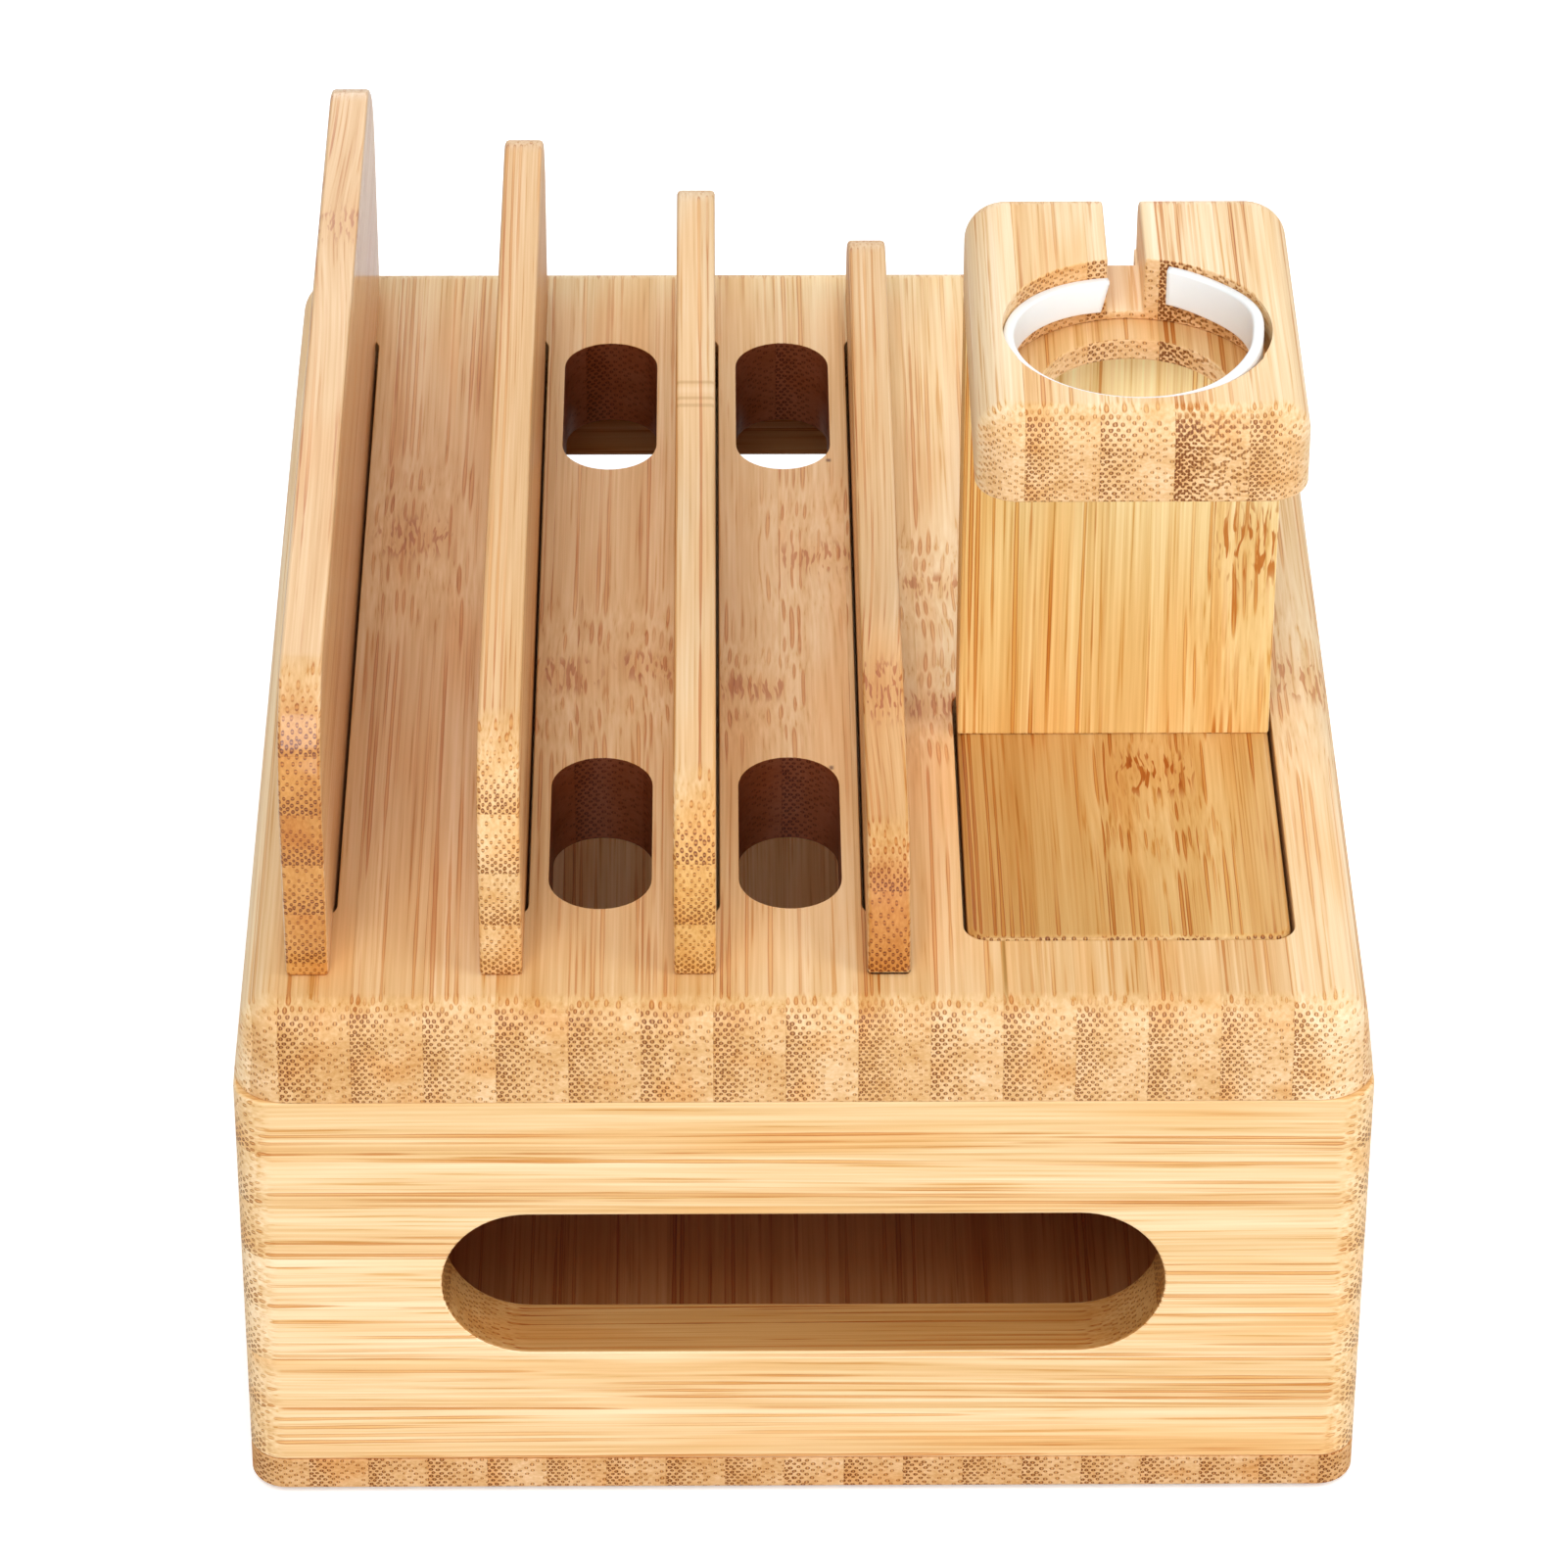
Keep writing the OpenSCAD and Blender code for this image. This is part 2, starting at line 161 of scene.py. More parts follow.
def bamboo_stock():
    """Node group for bamboo glued up from strips. It is a solid pattern, so that streaks on
    the long grain, dots on the end grain and the loops on a rounded edge belong together."""
    group = bpy.data.node_groups.new("bamboo stock", "ShaderNodeTree")
    sockets = group.interface
    for name, kind, start in (
        ("Across", "NodeSocketFloat", 0),
        ("Through", "NodeSocketFloat", 0),
        ("Along", "NodeSocketFloat", 0),
        ("End grain", "NodeSocketFloat", 0),
        ("Knot", "NodeSocketFloat", 0),
        ("Strip width", "NodeSocketFloat", 8),
        ("Piece", "NodeSocketFloat", 0),
        ("Contrast", "NodeSocketFloat", 1),
        ("Bold strip", "NodeSocketFloat", -99),
        ("Pale", "NodeSocketColor", (0.9, 0.7, 0.4, 1)),
        ("End tone", "NodeSocketColor", (1, 1, 1, 1)),
    ):
        socket = sockets.new_socket(name, in_out="INPUT", socket_type=kind)
        socket.default_value = start
    sockets.new_socket("Color", in_out="OUTPUT", socket_type="NodeSocketColor")
    sockets.new_socket("Height", in_out="OUTPUT", socket_type="NodeSocketFloat")
    nodes, links = group.nodes, group.links
    given = nodes.new("NodeGroupInput").outputs
    result = nodes.new("NodeGroupOutput").inputs

    def calc(operation, *values):
        node = nodes.new("ShaderNodeMath")
        node.operation = operation
        for socket, value in zip(node.inputs, values):
            if isinstance(value, (int, float)):
                socket.default_value = value
            else:
                links.new(value, socket)
        return node.outputs[0]

    def ramp(value, low, high, to_low=0.0, to_high=1.0):
        node = nodes.new("ShaderNodeMapRange")
        node.interpolation_type = "SMOOTHSTEP"
        for name, number in (
            ("Value", value), ("From Min", low), ("From Max", high),
            ("To Min", to_low), ("To Max", to_high),
        ):
            if isinstance(number, (int, float)):
                node.inputs[name].default_value = number
            else:
                links.new(number, node.inputs[name])
        return node.outputs[0]

    def point(x, y, z=0.0):
        node = nodes.new("ShaderNodeCombineXYZ")
        for socket, value in zip(node.inputs, (x, y, z)):
            if isinstance(value, (int, float)):
                socket.default_value = value
            else:
                links.new(value, socket)
        return node.outputs[0]

    def parts(vector):
        node = nodes.new("ShaderNodeSeparateXYZ")
        links.new(vector, node.inputs[0])
        return node.outputs

    def noise(place, detail=2.0):
        node = nodes.new("ShaderNodeTexNoise")
        node.inputs["Scale"].default_value = 1
        node.inputs["Detail"].default_value = detail
        links.new(place, node.inputs["Vector"])
        return node.outputs

    def blend(share, first, second, kind="MIX"):
        node = nodes.new("ShaderNodeMix")
        node.data_type = "RGBA"
        node.blend_type = kind
        for name, value in (("Factor", share), ("A", first), ("B", second)):
            if isinstance(value, (int, float)):
                node.inputs[name].default_value = value
            elif isinstance(value, tuple):
                node.inputs[name].default_value = value
            else:
                links.new(value, node.inputs[name])
        return node.outputs["Result"]

    across, through, along = given["Across"], given["Through"], given["Along"]
    end_grain, knot, piece = given["End grain"], given["Knot"], given["Piece"]
    long_grain = calc("SUBTRACT", 1.0, end_grain)

    # Which strip a point is in, where across it, and that strip's own random numbers
    strips = calc("DIVIDE", across, given["Strip width"])
    strip = calc("FLOOR", strips)
    part = calc("FRACT", strips)
    depth = part
    dice = nodes.new("ShaderNodeTexWhiteNoise")
    dice.noise_dimensions = "2D"
    links.new(point(strip, piece), dice.inputs["Vector"])
    luck = parts(dice.outputs["Color"])
    shade_luck = dice.outputs["Value"]

    # The bundles of fibre wander a little along the strip, swell up towards a knot, so that
    # the surface cuts them into short flames, and swirl in its core
    drift = parts(noise(point(
        calc("MULTIPLY", across, 0.02),
        calc("ADD", calc("MULTIPLY", through, 0.02), calc("MULTIPLY", strip, 3.7)),
        calc("ADD", calc("MULTIPLY", along, 0.006), calc("MULTIPLY", piece, 9.1)),
    ), 1.0)["Color"])
    swirl = parts(noise(point(
        calc("MULTIPLY", across, 0.25),
        calc("MULTIPLY", through, 0.25),
        calc("MULTIPLY", along, 0.13),
    ), 1.0)["Color"])
    near_knot = calc("POWER", knot, 0.11)
    aside, rise = (
        calc("ADD", calc("MULTIPLY", calc("SUBTRACT", slow, 0.5), 2.4),
             calc("ADD", calc("MULTIPLY", calc("SUBTRACT", fast, 0.5), calc("MULTIPLY", knot, twist)),
                  calc("MULTIPLY", near_knot, swell)))
        for slow, fast, twist, swell in zip(drift[:2], swirl[:2], (0.8, 1.6), (0.4, 1.2))
    )

    # The bundles stand in staggered rows, close together on the skin side of a strip and
    # ever farther apart towards its other side. Some strips have finer bundles than others
    close, apart, row_height = 1.35, 0.66, 1.0
    inward = calc("SUBTRACT", 1.0, depth)
    crowding = calc("ADD", apart, calc("MULTIPLY", calc("MULTIPLY", inward, inward), close - apart))
    squared = calc("MULTIPLY", calc("MULTIPLY", inward, inward), inward)
    counted = calc("ADD", calc("MULTIPLY", depth, apart),
                   calc("MULTIPLY", calc("SUBTRACT", 1.0, squared), (close - apart) / 3))
    finer = calc("ADD", 0.92, calc("MULTIPLY", luck[2], 0.22))
    wide = calc("ADD", calc("MULTIPLY", counted, given["Strip width"]),
                calc("ADD", calc("MULTIPLY", aside, crowding), calc("MULTIPLY", luck[0], 97.0)))
    wide = calc("MULTIPLY", wide, finer)
    high = calc("ADD", calc("ADD", through, rise), calc("MULTIPLY", luck[1], 97.0))
    high = calc("MULTIPLY", calc("DIVIDE", high, row_height), finer)
    cells = nodes.new("ShaderNodeTexVoronoi")
    cells.voronoi_dimensions = "2D"
    cells.inputs["Scale"].default_value = 1
    cells.inputs["Randomness"].default_value = 0.28
    left, right = calc("ADD", wide, high), calc("SUBTRACT", wide, high)
    links.new(point(left, right), cells.inputs["Vector"])
    centre = parts(cells.outputs["Position"])
    own = parts(cells.outputs["Color"])
    to_left = calc("SUBTRACT", left, centre[0])
    to_right = calc("SUBTRACT", right, centre[1])
    side_way = calc("DIVIDE", calc("ADD", to_left, to_right), calc("MULTIPLY", crowding, 2.0))
    side_way = calc("DIVIDE", side_way, finer)
    up_way = calc("MULTIPLY", calc("SUBTRACT", to_left, to_right), row_height / 2 / 0.85)
    up_way = calc("DIVIDE", up_way, finer)
    reach = calc("SQRT", calc("ADD", calc("MULTIPLY", side_way, side_way),
                              calc("MULTIPLY", up_way, up_way)))
    near_skin = ramp(depth, 0.0, 0.7, 1.0, 0.0)
    bold = calc("COMPARE", strip, given["Bold strip"], 0.5)
    lumps = noise(point(calc("MULTIPLY", wide, 2.3), calc("MULTIPLY", high, 2.3)), 0.0)["Fac"]
    lumpy = calc("MULTIPLY", end_grain, calc("ADD", 0.7, calc("MULTIPLY", bold, 1.0)))
    reach = calc("MULTIPLY", reach, calc("ADD", 1.0, calc(
        "MULTIPLY", calc("SUBTRACT", lumps, 0.5), lumpy)))
    girth = calc("SUBTRACT", 0.27, calc("MULTIPLY", luck[2], 0.05))
    girth = calc("ADD", girth, calc("MULTIPLY", bold, 0.07))
    ragged = noise(point(
        calc("MULTIPLY", centre[0], 3.1),
        calc("MULTIPLY", centre[1], 3.1),
        calc("MULTIPLY", along, 0.09),
    ), 1.0)["Fac"]
    uneven = calc("MULTIPLY", long_grain, 1.0)
    edge = calc("MULTIPLY", girth, calc("ADD", calc("ADD", 0.85, calc("MULTIPLY", own[1], 0.3)),
                                        calc("MULTIPLY", calc("SUBTRACT", ragged, 0.5), uneven)))
    edge = calc("MULTIPLY", edge, calc("SUBTRACT", 1.0, calc("MULTIPLY", near_knot, 0.25)))
    spot = ramp(reach, calc("MULTIPLY", edge, 0.72), calc("MULTIPLY", edge, 1.18), 1.0, 0.0)
    core = calc("MULTIPLY", edge, calc("ADD", 0.15, calc("MULTIPLY", long_grain, 0.2)))
    rim = calc("MULTIPLY", edge, calc("ADD", 0.7, calc("MULTIPLY", long_grain, 0.12)))
    heart = ramp(reach, core, rim, 1.0, 0.0)
    sideways = calc("DIVIDE", calc("ABSOLUTE", side_way), calc("ADD", reach, 0.001))
    crescents = ramp(sideways, 0.25, 0.85, calc("ADD", 0.25, calc("MULTIPLY", near_skin, 0.4)))
    hollow = calc("MULTIPLY", calc("SUBTRACT", 0.95, calc("MULTIPLY", near_skin, 0.35)),
                  calc("SUBTRACT", 1.0, calc("MAXIMUM", calc("MULTIPLY", near_knot, 0.45), bold)))
    thinned = calc("GREATER_THAN", own[2], ramp(depth, 0.2, 0.9, 0.0, 0.25))
    solid = calc("MULTIPLY", calc("MULTIPLY", calc("MULTIPLY", spot, thinned), crescents),
                 calc("SUBTRACT", 1.0, calc("MULTIPLY", heart, hollow)))
    fading = noise(point(
        calc("ADD", calc("MULTIPLY", centre[0], 7.3), calc("MULTIPLY", along, 0.03)),
        calc("MULTIPLY", centre[1], 5.1),
        calc("MULTIPLY", along, 0.02),
    ), 0.0)["Fac"]
    chosen = calc("ADD", fading, calc("MULTIPLY", calc("SUBTRACT", own[0], 0.5), 0.6))
    on_side = ramp(chosen, 0.35, 0.7, 0.15, 1.0)
    shown = calc("ADD", calc("MULTIPLY", on_side, long_grain), end_grain)
    spots = calc("MULTIPLY", solid, shown)

    # Fine fibre between the bundles, broad soft bands, amber stains, and flecks at a knot
    fibre = noise(point(
        calc("MULTIPLY", wide, 3.0),
        calc("MULTIPLY", high, 3.0),
        calc("MULTIPLY", along, 0.03),
    ), 3.0)["Fac"]
    bands = noise(point(
        calc("MULTIPLY", wide, 0.4),
        calc("MULTIPLY", high, 0.4),
        calc("MULTIPLY", along, 0.006),
    ), 2.0)["Fac"]
    cloud = noise(point(
        calc("MULTIPLY", across, 0.02),
        calc("MULTIPLY", through, 0.02),
        calc("ADD", calc("MULTIPLY", along, 0.012), piece),
    ), 1.0)["Fac"]
    amber = noise(point(
        calc("MULTIPLY", wide, 0.16),
        calc("MULTIPLY", high, 0.16),
        calc("MULTIPLY", along, 0.022),
    ), 1.0)["Fac"]
    flecks = noise(point(
        calc("MULTIPLY", calc("ADD", across, calc("MULTIPLY", swirl[2], 2.0)), 2.1),
        calc("MULTIPLY", through, 2.4),
        calc("MULTIPLY", calc("ADD", along, calc("MULTIPLY", swirl[1], 3.0)), 0.3),
    ), 1.0)["Fac"]

    fleck = calc("MULTIPLY", ramp(flecks, 0.53, 0.62), ramp(knot, 0.1, 0.7))
    density = calc("ADD", 0.75, calc("MULTIPLY", near_skin, 0.25))
    dotted = calc("MULTIPLY", end_grain, calc("ADD", 0.8, calc("MULTIPLY", near_skin, 0.45)))
    lines = calc("MULTIPLY", spots, calc("ADD", calc("MULTIPLY", density, long_grain), dotted))
    stain = calc("MULTIPLY", long_grain, calc("MULTIPLY", fleck, 0.8))
    darkness = calc("MULTIPLY", calc("MAXIMUM", lines, stain), given["Contrast"])

    def spread(value, amount):
        return calc("MULTIPLY", calc("SUBTRACT", value, 0.5), amount)

    lightness = calc("ADD", 1.0, spread(shade_luck, 0.2))
    for value, amount in ((fibre, 0.75), (bands, 0.7), (cloud, 0.22)):
        lightness = calc("ADD", lightness, spread(value, amount))
    skin_shade = calc("MULTIPLY", near_skin, 0.05)
    seam = ramp(calc("ABSOLUTE", calc("SUBTRACT", part, 0.5)), 0.487, 0.5, 0.0, 0.14)
    thread = calc("MULTIPLY", ramp(fibre, 0.28, 0.4, 1.0, 0.0), long_grain)
    for shade in (skin_shade, seam, calc("MULTIPLY", thread, 0.17), calc("MULTIPLY", knot, 0.08)):
        lightness = calc("SUBTRACT", lightness, shade)

    # Darker wood is also redder
    red = calc("POWER", lightness, 0.55)
    blue = calc("POWER", lightness, 1.9)
    plain = blend(1.0, given["Pale"], point(red, lightness, blue), "MULTIPLY")
    warm = blend(1.0, plain, (0.96, 0.80, 0.58, 1), "MULTIPLY")
    stains = calc("MAXIMUM", calc("MULTIPLY", ramp(amber, 0.5, 0.72), 0.7), calc("MULTIPLY", knot, 0.4))
    stains = calc("MAXIMUM", stains, calc("MULTIPLY", thread, 0.9))
    toned = blend(stains, plain, warm)
    ended = blend(end_grain, toned, blend(1.0, toned, given["End tone"], "MULTIPLY"))
    resin = calc("MULTIPLY", calc("MULTIPLY", calc("MULTIPLY", spot, thinned), shown),
                 calc("MULTIPLY", given["Contrast"], 0.75))
    soaked = blend(resin, ended, blend(1.0, ended, (0.93, 0.74, 0.46, 1), "MULTIPLY"))
    tint = blend(end_grain, (0.60, 0.27, 0.07, 1), (0.26, 0.115, 0.03, 1))
    mark = blend(1.0, ended, tint, "MULTIPLY")
    links.new(blend(calc("MINIMUM", darkness, 1.0), soaked, mark), result["Color"])
    links.new(calc("SUBTRACT", calc("MULTIPLY", fibre, 0.4), darkness), result["Height"])
    return group


def bamboo(name, piece, axes, strip, first, pale, knots=(), contrast=1.0, end_tone=(1, 1, 1),
           bold=-99, toned=()):
    """Lacquered bamboo. axes are across the strips, through them and along the grain, first
    is an edge of a strip, and knots are (across, along, reach) places, in millimetres. bold
    is the number of a strip with thick dark bundles, counted from the edge that first gives.
    toned lists surfaces as (axis, whether they face along it, tone, ranges they lie in). A
    range is an axis, its two ends and the width in which the tone sets in."""
    material = bpy.data.materials.new(name)
    material.use_nodes = True
    nodes, links = material.node_tree.nodes, material.node_tree.links
    surface = nodes["Principled BSDF"]
    stock = nodes.new("ShaderNodeGroup")
    stock.node_tree = bpy.data.node_groups.get("bamboo stock") or bamboo_stock()

    def calc(operation, *values):
        node = nodes.new("ShaderNodeMath")
        node.operation = operation
        for socket, value in zip(node.inputs, values):
            if isinstance(value, (int, float)):
                socket.default_value = value
            else:
                links.new(value, socket)
        return node.outputs[0]

    texture = nodes.new("ShaderNodeTexCoord")
    place = nodes.new("ShaderNodeSeparateXYZ")
    links.new(texture.outputs["Object"], place.inputs[0])
    facing = nodes.new("ShaderNodeSeparateXYZ")
    links.new(texture.outputs["Normal"], facing.inputs[0])
    number = {"X": 0, "Y": 1, "Z": 2}
    across, through, along = (calc("MULTIPLY", place.outputs[number[a]], 1000) for a in axes)
    links.new(calc("SUBTRACT", across, first), stock.inputs["Across"])
    links.new(through, stock.inputs["Through"])
    links.new(along, stock.inputs["Along"])
    end_grain = nodes.new("ShaderNodeMapRange")
    end_grain.interpolation_type = "SMOOTHSTEP"
    end_grain.inputs["From Min"].default_value = 0.25
    end_grain.inputs["From Max"].default_value = 0.8
    links.new(calc("ABSOLUTE", facing.outputs[number[axes[2]]]), end_grain.inputs["Value"])
    links.new(end_grain.outputs[0], stock.inputs["End grain"])
    knot = 0.0
    for knot_across, knot_along, reach in knots:
        aside = calc("POWER", calc("DIVIDE", calc("SUBTRACT", across, knot_across), strip * 0.6), 4.0)
        ahead_of = calc("POWER", calc("DIVIDE", calc("SUBTRACT", along, knot_along), reach), 2.0)
        knot = calc("ADD", knot, calc("EXPONENT", calc("MULTIPLY", calc("ADD", aside, ahead_of), -1.0)))
    if knots:
        links.new(knot, stock.inputs["Knot"])
    stock.inputs["Strip width"].default_value = strip
    stock.inputs["Piece"].default_value = piece
    stock.inputs["Contrast"].default_value = contrast
    stock.inputs["Bold strip"].default_value = bold
    stock.inputs["Pale"].default_value = (*pale, 1)
    stock.inputs["End tone"].default_value = (*end_tone, 1)
    colour = stock.outputs["Color"]
    for axis, faces_it, tone, ranges in toned:
        turned = calc("ABSOLUTE", facing.outputs[number[axis]])
        there = calc("GREATER_THAN" if faces_it else "LESS_THAN", turned, 0.7)
        for side, low, high, soft in ranges:
            at = calc("MULTIPLY", place.outputs[number[side]], 1000)
            within = calc("MINIMUM", calc("SUBTRACT", at, low), calc("SUBTRACT", high, at))
            share = calc("MAXIMUM", calc("MINIMUM", calc("DIVIDE", within, soft), 1.0), 0.0)
            there = calc("MULTIPLY", there, share)
        shade = nodes.new("ShaderNodeMix")
        shade.data_type = "RGBA"
        shade.blend_type = "MULTIPLY"
        shade.inputs["B"].default_value = (*tone, 1)
        links.new(there, shade.inputs["Factor"])
        links.new(colour, shade.inputs["A"])
        colour = shade.outputs["Result"]
    links.new(colour, surface.inputs["Base Color"])
    surface.inputs["Roughness"].default_value = 0.45
    surface.inputs["Specular IOR Level"].default_value = 0.25
    surface.inputs["Coat Weight"].default_value = 0.08
    surface.inputs["Coat Roughness"].default_value = 0.3
    bump = nodes.new("ShaderNodeBump")
    bump.inputs["Strength"].default_value = 0.25
    bump.inputs["Distance"].default_value = 0.00012
    links.new(stock.outputs["Height"], bump.inputs["Height"])
    links.new(bump.outputs["Normal"], surface.inputs["Normal"])
    return material


def finish_board(node, material, ease=0.00035):
    """Gives a packed board its material and eases its sharp edges, as sanding does."""
    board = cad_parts[node]
    for slot in board.material_slots:
        slot.material = material
    for face in board.data.polygons:
        face.use_smooth = True
    weld = board.modifiers.new("weld", "WELD")
    weld.merge_threshold = 5e-6
    flats = board.modifiers.new("flats", "DECIMATE")
    flats.decimate_type = "DISSOLVE"
    flats.angle_limit = math.radians(0.5)
    sanding = board.modifiers.new("sanding", "BEVEL")
    sanding.width = ease
    sanding.segments = 2
    sanding.limit_method = "ANGLE"
    sanding.angle_limit = math.radians(50)
    sanding.use_clamp_overlap = False
    shading = board.modifiers.new("shading", "WEIGHTED_NORMAL")
    shading.keep_sharp = False
    return board


base_bamboo = bamboo(
    "bottom bamboo", 1, ("X", "Z", "Y"), 7.2, -67.0, (0.69, 0.41, 0.186),
    toned=(
        # Painted light: the top of the board is lighter from the middle to the back, where light comes in
        # through the back opening and the lid's holes
        ("Z", True, (1.30, 1.27, 1.30), (("Z", 5, 6, 0.2), ("Y", -30, 99, 50))),
        # Painted shade: the top of the board is darker towards the front, in the shade inside the box
        ("Z", True, (0.74, 0.40, 0.20), (("Z", 5, 6, 0.2), ("Y", -99, 20, 50))),
    ),
)
base_surface = base_bamboo.node_tree.nodes["Principled BSDF"]
base_surface.inputs["Roughness"].default_value = 0.7
base_surface.inputs["Coat Weight"].default_value = 0
finish_board("bottom_plate", base_bamboo)

# Rubber pads
# Four thin black rubber discs stuck under the bottom board. They keep the station from
# sliding, and they hardly show.
pad_rubber = bpy.data.materials.new("pad rubber")
pad_rubber.use_nodes = True
nodes, links = pad_rubber.node_tree.nodes, pad_rubber.node_tree.links
grain = nodes.new("ShaderNodeTexNoise")
grain.inputs["Scale"].default_value = 900
rubber_tone = nodes.new("ShaderNodeMix")
rubber_tone.data_type = "RGBA"
rubber_tone.inputs["A"].default_value = (0.02, 0.02, 0.02, 1)
rubber_tone.inputs["B"].default_value = (0.045, 0.045, 0.045, 1)
links.new(grain.outputs["Fac"], rubber_tone.inputs["Factor"])
links.new(rubber_tone.outputs["Result"], nodes["Principled BSDF"].inputs["Base Color"])
nodes["Principled BSDF"].inputs["Roughness"].default_value = 0.75
finish_board("foot_pads", pad_rubber, 0.0002)

# Walls
# Four boards with their strips one above the other and the grain level. The front and the
# back wall have a round-ended opening for the cables, and they hide the ends of the others.
wall_pale = (0.885, 0.62, 0.33)
# The faces cut for the cable openings are darker, partly as raw cut wood and partly as painted shade cast
# by the opening's top edge
opening_cut_and_shade = ("Y", False, (0.56, 0.39, 0.21), (("X", -43.5, 43.5, 0.2), ("Z", 21.5, 46.5, 0.2)))
# Painted shade on the inner faces of the walls, where the box is dark inside
inner_shade_y = ("Y", True, (0.62, 0.46, 0.34), (("Y", -79, 79, 0.2),))
inner_shade_x = ("X", True, (0.62, 0.46, 0.34), (("X", -59, 59, 0.2),))
wall_woods = {
    "front_wall": bamboo(
        "front bamboo", 2, ("Z", "Y", "X"), 7.7, 5.5, wall_pale, toned=(opening_cut_and_shade, inner_shade_y),
    ),
    "back_wall": bamboo(
        "back bamboo", 3, ("Z", "Y", "X"), 7.7, 5.5, wall_pale, toned=(opening_cut_and_shade, inner_shade_y),
    ),
    "left_wall": bamboo("left bamboo", 4, ("Z", "X", "Y"), 7.7, 5.5, wall_pale, toned=(inner_shade_x,)),
    "right_wall": bamboo("right bamboo", 24, ("Z", "X", "Y"), 7.7, 5.5, wall_pale, toned=(inner_shade_x,)),
}
for wall, wood in wall_woods.items():
    finish_board(wall, wood)

# Wall dowels and lid pegs
# Turned pegs of bare bamboo, driven into the walls with glue. The dowels are hidden in the
# corners, and the pegs stand up out of the wall tops to hold the lid in place.
peg_pale = (0.80, 0.58, 0.32)
peg_bamboo = bamboo("peg bamboo", 5, ("X", "Y", "Z"), 20, 0, peg_pale)
peg_bamboo_level = bamboo("dowel bamboo", 6, ("X", "Z", "Y"), 20, 0, peg_pale)
finish_board("lid_pegs", peg_bamboo, 0.0001)
finish_board("wall_dowels", peg_bamboo_level, 0.0001)

# Lid
# One board, 12 mm thick, of strips that run front to back. Its edge is rounded over, and it
# is routed right through for the cables, where the cuts are darker, partly scorched by the
# cutter and partly painted shade inside the holes, and part way for the dividers and the stand.
# Its left, right and back edges carry painted highlights and a painted sheen, the front of the
# first bay has painted shade, and the lid beside the stand has painted light over the stand's
# shadow. One joint shows a dark line of glue, and two specks lie on it.
lid_knots = (
    (-49, 17, 5), (-29.5, -15, 4), (-17.5, -13, 3.5), (-6, -18, 3),
    (2.5, 12, 4), (17, 5, 3), (16, -22, 3), (63, -16, 5),
)
lid_bamboo = bamboo(
    "lid bamboo", 7, ("X", "Z", "Y"), 8.45, -69.8, (0.76, 0.49, 0.23), knots=lid_knots,
    contrast=0.92, end_tone=(0.98, 0.94, 0.93),
    toned=(
        # The walls of the cable holes are darker, partly scorched by the cutter and partly painted shade
        # inside the holes
        ("Z", False, (0.27, 0.126, 0.107), (("X", -31, -17.3, 0.2), ("Y", -80, 80, 0.2))),
        ("Z", False, (0.27, 0.126, 0.107), (("X", -8.3, 5.5, 0.2), ("Y", -80, 80, 0.2))),
        # Painted highlight on the lid's right edge, top and side, where light falls from the right
        ("Z", True, (1.12, 1.22, 1.40), (("X", 56.9, 80, 0.1),)),
        ("Z", False, (1.12, 1.22, 1.40), (("X", 56.9, 80, 0.1),)),
        # Painted highlight on the lid's left side face
        ("X", True, (1.20, 1.35, 1.60), (("X", -90, -60, 0.1),)),
        # Painted sheen on the back of the lid's top, a painted reflection of the light behind it
        ("Z", True, (1.17, 1.32, 1.46), (("Y", 35, 150, 50),)),
        # Painted shade on the front of the first bay, between the two tallest dividers
        ("Z", True, (0.90, 0.85, 0.82), (("X", -58, -35, 5), ("Y", -72, 10, 25))),
        # Painted light on the lid between the lowest divider and the stand, lightening the stand's shadow
        ("Z", True, (1.13, 1.23, 1.33), (("X", 8, 22, 3), ("Y", -35, 75, 20))),
        ("Z", True, (0.62, 0.60, 0.42), (("X", 23.2, 23.8, 0.2), ("Y", -86, -66, 6))),
        ("Z", True, (0.30, 0.22, 0.18), (("X", 3.4, 4.2, 0.3), ("Y", -36.3, -35.1, 0.4))),
        ("Z", True, (0.30, 0.22, 0.18), (("X", 4.0, 4.9, 0.3), ("Y", 34.9, 36.0, 0.4))),
    ),
)
finish_board("lid", lid_bamboo, 0.00015)

# Dividers
# Four upright boards, 5 mm thick, that step down from the left. Their strips lie one above
# the other along the grooves that they stand in, so their round corners show end grain. The
# tallest one has the glossiest lacquer, which mirrors the white surround at a low angle, and
# fine lines cross the third one where its cane had a node. The lowest one is darker in front.
divider_strips = (
    (7.0, 73.3, (104.5, 33.6, 6), (0.81, 0.52, 0.255), (0.73, 0.50, 0.22)),
    (7.3, 78.7, None, (0.79, 0.50, 0.245), (1.00, 1.00, 0.95)),
    (7.3, 78.7, None, (0.78, 0.525, 0.27), (0.92, 0.76, 0.47)),
    (9.4, 80.8, (82, -39, 7), (0.74, 0.46, 0.21), (0.76, 0.50, 0.23)),
)
node_lines = (
    ("Z", True, (0.80, 0.72, 0.60), (("Y", 19.3, 20.5, 0.5),)),
    ("Z", True, (1.05, 1.10, 1.20), (("Y", 16.9, 19.2, 0.8),)),
    ("Z", True, (0.82, 0.75, 0.64), (("Y", 15.5, 16.6, 0.4),)),
    ("Z", True, (0.83, 0.77, 0.68), (("Y", 13.7, 14.9, 0.4),)),
)
golden_front = (("Z", True, (0.93, 0.84, 0.70), (("Y", -99, -25, 15),)),)
divider_tones = ((), (), node_lines, golden_front)
